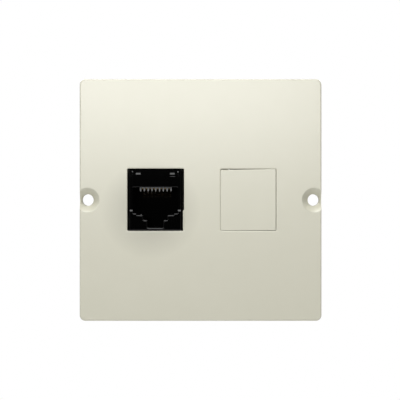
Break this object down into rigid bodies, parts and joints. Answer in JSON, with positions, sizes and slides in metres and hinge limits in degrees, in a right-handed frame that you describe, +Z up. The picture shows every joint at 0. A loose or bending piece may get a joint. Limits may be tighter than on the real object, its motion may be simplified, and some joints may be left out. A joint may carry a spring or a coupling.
{
  "type": "data outlet plate",
  "caption": "Square wall plate for a flush box, with an 8-way modular data jack in its left port and a clip-in blank in its right port.",
  "frame": {"origin": "middle of the wall plane, on the back of the plate's centre rib", "axes": "+X right and +Z up as seen by someone facing the plate, +Y into the wall"},
  "size_m": [0.064, 0.029, 0.064],
  "materials": {
    "cream_plastic": "satin cream thermoplastic",
    "black_plastic": "glossy black thermoplastic",
    "natural_nylon": "grey nylon",
    "gold_plate": "gold plated spring wire",
    "tinned_bronze": "tinned bronze",
    "board_resin": "green solder mask",
    "milky_plastic": "milky translucent thermoplastic",
    "label_film": "printed film label"
  },
  "bodies": {
    "outlet": {"front_plate": "cream_plastic", "jack_housing": "black_plastic", "contact_carrier": "natural_nylon", "contact_tail_1": "gold_plate", "contact_tail_2": "gold_plate", "contact_tail_3": "gold_plate", "contact_tail_4": "gold_plate", "contact_tail_5": "gold_plate", "contact_tail_6": "gold_plate", "contact_tail_7": "gold_plate", "contact_tail_8": "gold_plate", "circuit_board": "board_resin", "idc_block": "black_plastic", "idc_clip_1": "tinned_bronze", "idc_clip_2": "tinned_bronze", "idc_clip_3": "tinned_bronze", "idc_clip_4": "tinned_bronze", "idc_clip_5": "tinned_bronze", "idc_clip_6": "tinned_bronze", "idc_clip_7": "tinned_bronze", "idc_clip_8": "tinned_bronze", "wiring_label_left": "label_film", "wiring_label_right": "label_film", "blank_insert": "cream_plastic"},
    "jack_latch": {"jack_latch": "black_plastic"},
    "blank_latch": {"blank_latch": "cream_plastic"},
    "left_cap": {"wire_cap_left": "milky_plastic"},
    "right_cap": {"wire_cap_right": "milky_plastic"},
    "contact_1": {"contact_arm_1": "gold_plate"},
    "contact_2": {"contact_arm_2": "gold_plate"},
    "contact_3": {"contact_arm_3": "gold_plate"},
    "contact_4": {"contact_arm_4": "gold_plate"},
    "contact_5": {"contact_arm_5": "gold_plate"},
    "contact_6": {"contact_arm_6": "gold_plate"},
    "contact_7": {"contact_arm_7": "gold_plate"},
    "contact_8": {"contact_arm_8": "gold_plate"}
  },
  "joints": [
    {"name": "jack_latch_press", "type": "hinge", "parent": "outlet", "child": "jack_latch", "pos_m": [-0.012, -0.001, 0.0074], "axis": [-1, 0, 0], "range_deg": [0, 11], "stiffness_Nm_per_rad": 0.3},
    {"name": "blank_latch_press", "type": "hinge", "parent": "outlet", "child": "blank_latch", "pos_m": [0.01242, -0.001, 0.0074], "axis": [-0.9999, 0, -0.014], "range_deg": [0, 11], "stiffness_Nm_per_rad": 0.3},
    {"name": "left_cap_lift", "type": "slide", "parent": "outlet", "child": "left_cap", "axis": [0, 0, 1], "range_m": [0, 0.008]},
    {"name": "right_cap_lift", "type": "slide", "parent": "outlet", "child": "right_cap", "axis": [0, 0, 1], "range_m": [0, 0.008]},
    {"name": "contact_1_lift", "type": "hinge", "parent": "outlet", "child": "contact_1", "pos_m": [-0.01556, -0.00005, 0.00305], "axis": [1, 0, 0], "range_deg": [0, 13], "stiffness_Nm_per_rad": 0.02},
    {"name": "contact_2_lift", "type": "hinge", "parent": "outlet", "child": "contact_2", "pos_m": [-0.01454, -0.00005, 0.00305], "axis": [1, 0, 0], "range_deg": [0, 13], "stiffness_Nm_per_rad": 0.02},
    {"name": "contact_3_lift", "type": "hinge", "parent": "outlet", "child": "contact_3", "pos_m": [-0.01352, -0.00005, 0.00305], "axis": [1, 0, 0], "range_deg": [0, 13], "stiffness_Nm_per_rad": 0.02},
    {"name": "contact_4_lift", "type": "hinge", "parent": "outlet", "child": "contact_4", "pos_m": [-0.01251, -0.00005, 0.00305], "axis": [1, 0, 0], "range_deg": [0, 13], "stiffness_Nm_per_rad": 0.02},
    {"name": "contact_5_lift", "type": "hinge", "parent": "outlet", "child": "contact_5", "pos_m": [-0.01149, -0.00005, 0.00305], "axis": [1, 0, 0], "range_deg": [0, 13], "stiffness_Nm_per_rad": 0.02},
    {"name": "contact_6_lift", "type": "hinge", "parent": "outlet", "child": "contact_6", "pos_m": [-0.01048, -0.00005, 0.00305], "axis": [1, 0, 0], "range_deg": [0, 13], "stiffness_Nm_per_rad": 0.02},
    {"name": "contact_7_lift", "type": "hinge", "parent": "outlet", "child": "contact_7", "pos_m": [-0.00946, -0.00005, 0.00305], "axis": [1, 0, 0], "range_deg": [0, 13], "stiffness_Nm_per_rad": 0.02},
    {"name": "contact_8_lift", "type": "hinge", "parent": "outlet", "child": "contact_8", "pos_m": [-0.00844, -0.00005, 0.00305], "axis": [1, 0, 0], "range_deg": [0, 13], "stiffness_Nm_per_rad": 0.02}
  ],
  "couplings": [
    {"joint": "contact_2_lift", "follows": "contact_1_lift", "ratio": 1},
    {"joint": "contact_3_lift", "follows": "contact_1_lift", "ratio": 1},
    {"joint": "contact_4_lift", "follows": "contact_1_lift", "ratio": 1},
    {"joint": "contact_5_lift", "follows": "contact_1_lift", "ratio": 1},
    {"joint": "contact_6_lift", "follows": "contact_1_lift", "ratio": 1},
    {"joint": "contact_7_lift", "follows": "contact_1_lift", "ratio": 1},
    {"joint": "contact_8_lift", "follows": "contact_1_lift", "ratio": 1}
  ]
}
